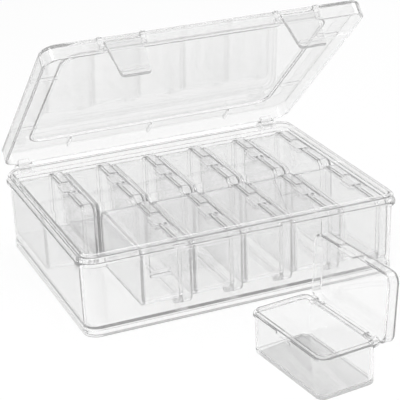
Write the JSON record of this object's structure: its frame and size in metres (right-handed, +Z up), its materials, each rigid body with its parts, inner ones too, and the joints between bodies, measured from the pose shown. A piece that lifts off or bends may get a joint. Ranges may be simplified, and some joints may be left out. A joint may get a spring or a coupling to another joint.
{
  "type": "bead storage box",
  "caption": "Clear case with a hinged lid and hook latches, holding clear hinged mini boxes stood on edge for beads and small craft parts.",
  "frame": {"origin": "middle of the front foot's underside, on the surface that the case stands on", "axes": "+X to the right along the case's front, +Y from front to back, +Z up"},
  "size_m": [0.172, 0.2332, 0.1361],
  "materials": {
    "clear_case": "clear, high gloss, injection moulded",
    "clear_mini_box": "clear, high gloss, injection moulded"
  },
  "bodies": {
    "outer_base": {"outer_base": "clear_case"},
    "outer_lid": {"outer_lid": "clear_case"},
    "latch_left": {"latch_left": "clear_case"},
    "latch_right": {"latch_right": "clear_case"},
    "mini_box_back_1": {"mini_tray_back_1": "clear_mini_box", "mini_lid_back_1": "clear_mini_box"},
    "mini_box_back_2": {"mini_tray_back_2": "clear_mini_box", "mini_lid_back_2": "clear_mini_box"},
    "mini_box_back_3": {"mini_tray_back_3": "clear_mini_box", "mini_lid_back_3": "clear_mini_box"},
    "mini_box_back_4": {"mini_tray_back_4": "clear_mini_box", "mini_lid_back_4": "clear_mini_box"},
    "mini_box_back_5": {"mini_tray_back_5": "clear_mini_box", "mini_lid_back_5": "clear_mini_box"},
    "mini_box_back_6": {"mini_tray_back_6": "clear_mini_box", "mini_lid_back_6": "clear_mini_box"},
    "mini_box_front_2": {"mini_tray_front_2": "clear_mini_box", "mini_lid_front_2": "clear_mini_box"},
    "mini_box_front_3": {"mini_tray_front_3": "clear_mini_box", "mini_lid_front_3": "clear_mini_box"},
    "mini_box_front_4": {"mini_tray_front_4": "clear_mini_box", "mini_lid_front_4": "clear_mini_box"},
    "mini_box_front_5": {"mini_tray_front_5": "clear_mini_box", "mini_lid_front_5": "clear_mini_box"},
    "mini_box_front_6": {"mini_tray_front_6": "clear_mini_box", "mini_lid_front_6": "clear_mini_box"},
    "mini_box_loose": {"mini_tray_loose": "clear_mini_box"},
    "mini_box_loose_lid": {"mini_lid_loose": "clear_mini_box"}
  },
  "joints": [
    {"name": "outer_lid_hinge", "type": "hinge", "parent": "outer_base", "child": "outer_lid", "pos_m": [0, 0.12769, 0.041], "axis": [-1, 0, 0], "range_deg": [-42.2, 67.8]},
    {"name": "latch_left_hinge", "type": "hinge", "parent": "outer_lid", "child": "latch_left", "pos_m": [-0.046, 0.03367, 0.13165], "axis": [-1, 0, 0], "range_deg": [-14, 61]},
    {"name": "latch_right_hinge", "type": "hinge", "parent": "outer_lid", "child": "latch_right", "pos_m": [0.046, 0.03367, 0.13165], "axis": [-1, 0, 0], "range_deg": [-14, 61]},
    {"name": "mini_box_back_1_lift", "type": "slide", "parent": "outer_base", "child": "mini_box_back_1", "axis": [0, 0, 1], "range_m": [0, 0.01]},
    {"name": "mini_box_back_2_lift", "type": "slide", "parent": "outer_base", "child": "mini_box_back_2", "axis": [0, 0, 1], "range_m": [0, 0.01]},
    {"name": "mini_box_back_3_lift", "type": "slide", "parent": "outer_base", "child": "mini_box_back_3", "axis": [0, 0, 1], "range_m": [0, 0.01]},
    {"name": "mini_box_back_4_lift", "type": "slide", "parent": "outer_base", "child": "mini_box_back_4", "axis": [0, 0, 1], "range_m": [0, 0.01]},
    {"name": "mini_box_back_5_lift", "type": "slide", "parent": "outer_base", "child": "mini_box_back_5", "axis": [0, 0, 1], "range_m": [0, 0.01]},
    {"name": "mini_box_back_6_lift", "type": "slide", "parent": "outer_base", "child": "mini_box_back_6", "axis": [0, 0, 1], "range_m": [0, 0.01]},
    {"name": "mini_box_front_2_lift", "type": "slide", "parent": "outer_base", "child": "mini_box_front_2", "axis": [0, 0, 1], "range_m": [0, 0.04]},
    {"name": "mini_box_front_3_lift", "type": "slide", "parent": "outer_base", "child": "mini_box_front_3", "axis": [0, 0, 1], "range_m": [0, 0.04]},
    {"name": "mini_box_front_4_lift", "type": "slide", "parent": "outer_base", "child": "mini_box_front_4", "axis": [0, 0, 1], "range_m": [0, 0.04]},
    {"name": "mini_box_front_5_lift", "type": "slide", "parent": "outer_base", "child": "mini_box_front_5", "axis": [0, 0, 1], "range_m": [0, 0.04]},
    {"name": "mini_box_front_6_lift", "type": "slide", "parent": "outer_base", "child": "mini_box_front_6", "axis": [0, 0, 1], "range_m": [0, 0.04]},
    {"name": "mini_box_loose_lift", "type": "slide", "parent": "outer_base", "child": "mini_box_loose", "axis": [0, 0, 1], "range_m": [0, 0.03]},
    {"name": "mini_box_loose_lid_hinge", "type": "hinge", "parent": "mini_box_loose", "child": "mini_box_loose_lid", "pos_m": [0.01665, -0.07024, 0.0192], "axis": [-0.1132, 0.9936, 0], "range_deg": [-94, 0]}
  ]
}
